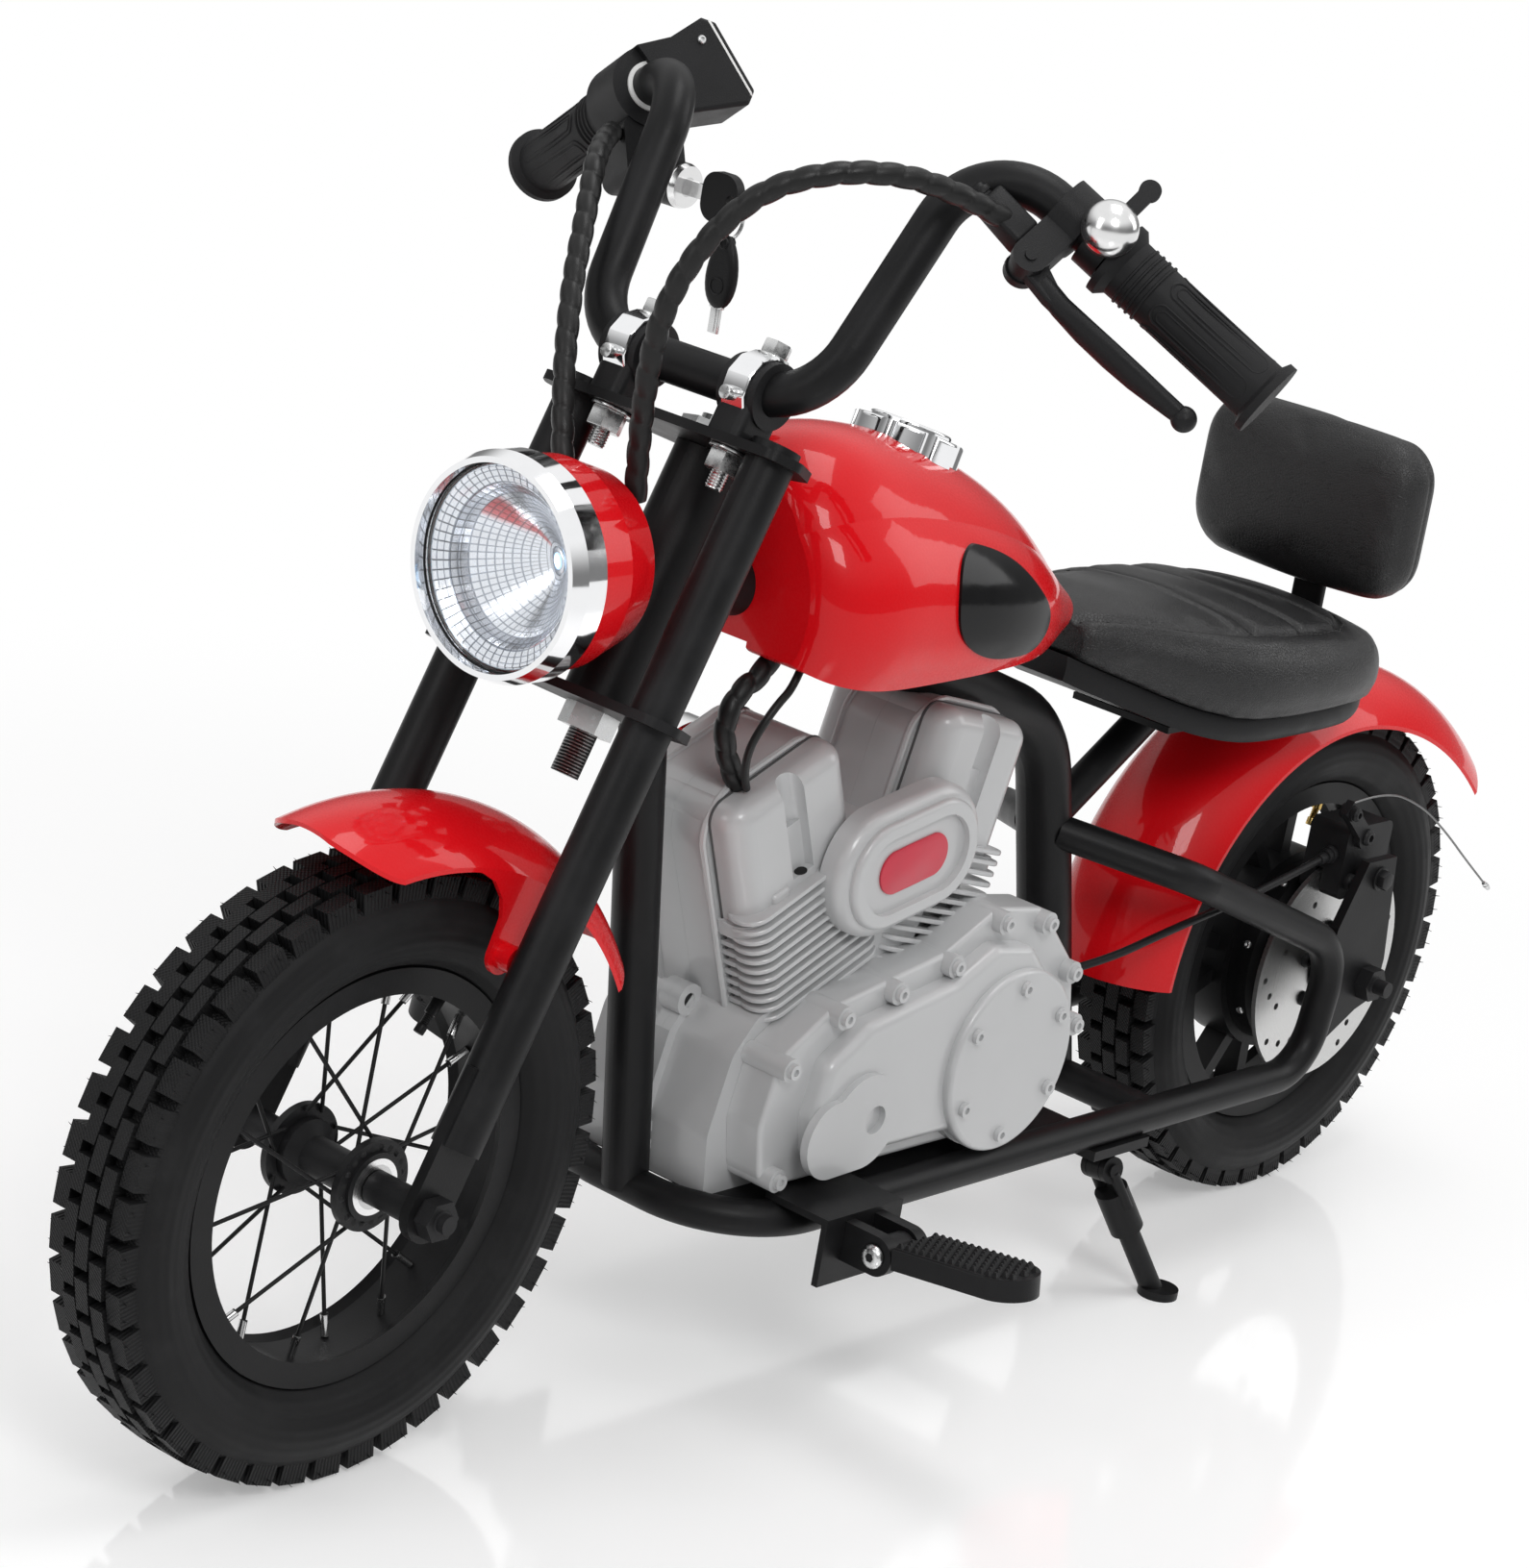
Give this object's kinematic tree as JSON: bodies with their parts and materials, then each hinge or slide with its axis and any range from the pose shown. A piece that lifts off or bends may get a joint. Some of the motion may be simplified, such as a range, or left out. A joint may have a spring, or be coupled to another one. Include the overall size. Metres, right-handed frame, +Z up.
{
  "type": "kids electric motorbike",
  "caption": "Child-size electric motorbike in cruiser style: wire-spoked front wheel, hub-motor rear wheel, tube frame, finned twin-cylinder shaped battery casing, seat with backrest.",
  "frame": {"origin": "on the floor, midway between the axles, in the middle plane of the bike", "axes": "+X forward, +Y to the rider's left, +Z up"},
  "size_m": [1.1202, 0.516, 0.6998],
  "materials": {
    "black_steel": "satin black powder coat",
    "red_gloss": "glossy red",
    "grey_moulding": "satin grey moulding",
    "chrome": "polished",
    "bright_steel": "bright",
    "spoke_black": "black wire with bright nipples",
    "tyre": "black",
    "leather": "black grained",
    "grip_rubber": "black",
    "black_plastic": "matt black",
    "badge_black": "bare glossy plate",
    "key": "black head",
    "lens": "clear ribbed",
    "reflector": "bright facets"
  },
  "bodies": {
    "frame": {"frame_spine": "black_steel", "frame_cradle": "black_steel", "peg_mounts": "black_steel", "seat_pan": "black_plastic", "seat_cushion": "leather", "backrest_post": "black_steel", "backrest_pad": "leather", "fuel_tank": "red_gloss", "tank_cap": "chrome", "tank_badges": "badge_black", "rear_fender": "red_gloss", "engine_casing_left": "grey_moulding", "engine_casing_right": "grey_moulding", "primary_cover": "grey_moulding", "intake_cover": "grey_moulding", "air_cleaner": "chrome", "casing_screws": "grey_moulding", "battery_pack": "black_plastic", "motor_controller": "black_plastic", "rear_axle": "black_steel", "brake_caliper": "black_steel", "lower_harness": "black_plastic", "brake_cable": "black_plastic"},
    "steering": {"steering_stem": "black_steel", "fork_clamp_plates": "black_steel", "fork_legs": "black_steel", "front_axle": "black_steel", "front_fender": "red_gloss", "headlight_bucket": "red_gloss", "headlight_bezel": "chrome", "headlight_lens": "lens", "headlight_reflector": "reflector", "handlebar": "black_steel", "bar_clamps": "black_steel", "left_grip": "grip_rubber", "throttle_housing": "black_plastic", "ignition_lock": "black_plastic", "lever_bracket": "black_plastic", "bell": "chrome", "harness_left": "black_plastic", "harness_right": "black_plastic"},
    "front_wheel": {"front_tyre": "tyre", "front_rim": "black_steel", "front_spokes": "spoke_black", "front_hub": "black_steel", "front_bearings": "bright_steel"},
    "rear_wheel": {"rear_tyre": "tyre", "rear_rim": "black_steel", "hub_motor": "black_steel", "brake_disc": "bright_steel"},
    "throttle": {"throttle_grip": "grip_rubber"},
    "brake_lever": {"brake_lever": "black_plastic"},
    "caliper_arm": {"caliper_arm": "black_steel"},
    "bell_lever": {"bell_lever": "black_plastic"},
    "ignition_key": {"ignition_key": "key"},
    "spare_key": {"spare_key": "key"},
    "left_peg": {"left_peg": "black_plastic"},
    "right_peg": {"right_peg": "black_plastic"},
    "kickstand": {"kickstand_leg": "black_steel"}
  },
  "joints": [
    {"name": "steering_turn", "type": "hinge", "parent": "frame", "child": "steering", "pos_m": [0.23255, 0, 0.44651], "axis": [-0.4107, 0, 0.9118], "range_deg": [-40, 40]},
    {"name": "front_wheel_spin", "type": "hinge", "parent": "steering", "child": "front_wheel", "pos_m": [0.4, 0, 0.16], "axis": [0, 1, 0], "continuous": true},
    {"name": "rear_wheel_spin", "type": "hinge", "parent": "frame", "child": "rear_wheel", "pos_m": [-0.4, 0, 0.156], "axis": [0, 1, 0], "continuous": true},
    {"name": "throttle_twist", "type": "hinge", "parent": "steering", "child": "throttle", "pos_m": [0.09269, -0.246, 0.59628], "axis": [-0.3213, -0.8014, -0.5046], "range_deg": [0, 65], "stiffness_Nm_per_rad": 0.25},
    {"name": "brake_lever_pull", "type": "hinge", "parent": "steering", "child": "brake_lever", "pos_m": [0.16432, 0.14127, 0.64], "axis": [0.4813, 0.5971, 0.6418], "range_deg": [0, 9], "stiffness_Nm_per_rad": 1.5, "springref_deg": -5.73},
    {"name": "caliper_arm_pull", "type": "hinge", "parent": "frame", "child": "caliper_arm", "pos_m": [-0.383, 0.06, 0.249], "axis": [0, 1, 0], "range_deg": [0, 15]},
    {"name": "bell_lever_flick", "type": "hinge", "parent": "steering", "child": "bell_lever", "pos_m": [0.13978, 0.16832, 0.66113], "axis": [0.6399, 0.5765, 0.5081], "range_deg": [0, 25], "stiffness_Nm_per_rad": 0.05, "springref_deg": -5.73},
    {"name": "ignition_turn", "type": "hinge", "parent": "steering", "child": "ignition_key", "pos_m": [0.143, -0.096, 0.621], "axis": [0, -1, 0], "range_deg": [0, 90]},
    {"name": "spare_key_swing", "type": "hinge", "parent": "ignition_key", "child": "spare_key", "pos_m": [0.143, -0.064, 0.61997], "axis": [1, 0, 0], "range_deg": [-25, 25]},
    {"name": "left_peg_fold", "type": "hinge", "parent": "frame", "child": "left_peg", "pos_m": [0.113, 0.134, 0.108], "axis": [1, 0, 0], "range_deg": [0, 72]},
    {"name": "right_peg_fold", "type": "hinge", "parent": "frame", "child": "right_peg", "pos_m": [0.113, -0.134, 0.108], "axis": [-1, 0, 0], "range_deg": [0, 72]},
    {"name": "kickstand_fold", "type": "hinge", "parent": "frame", "child": "kickstand", "pos_m": [-0.151, 0.078, 0.082], "axis": [0.1685, 0.9761, 0.1374], "range_deg": [0, 58]}
  ],
  "couplings": [
    {"joint": "caliper_arm_pull", "follows": "brake_lever_pull", "ratio": 1.6}
  ]
}
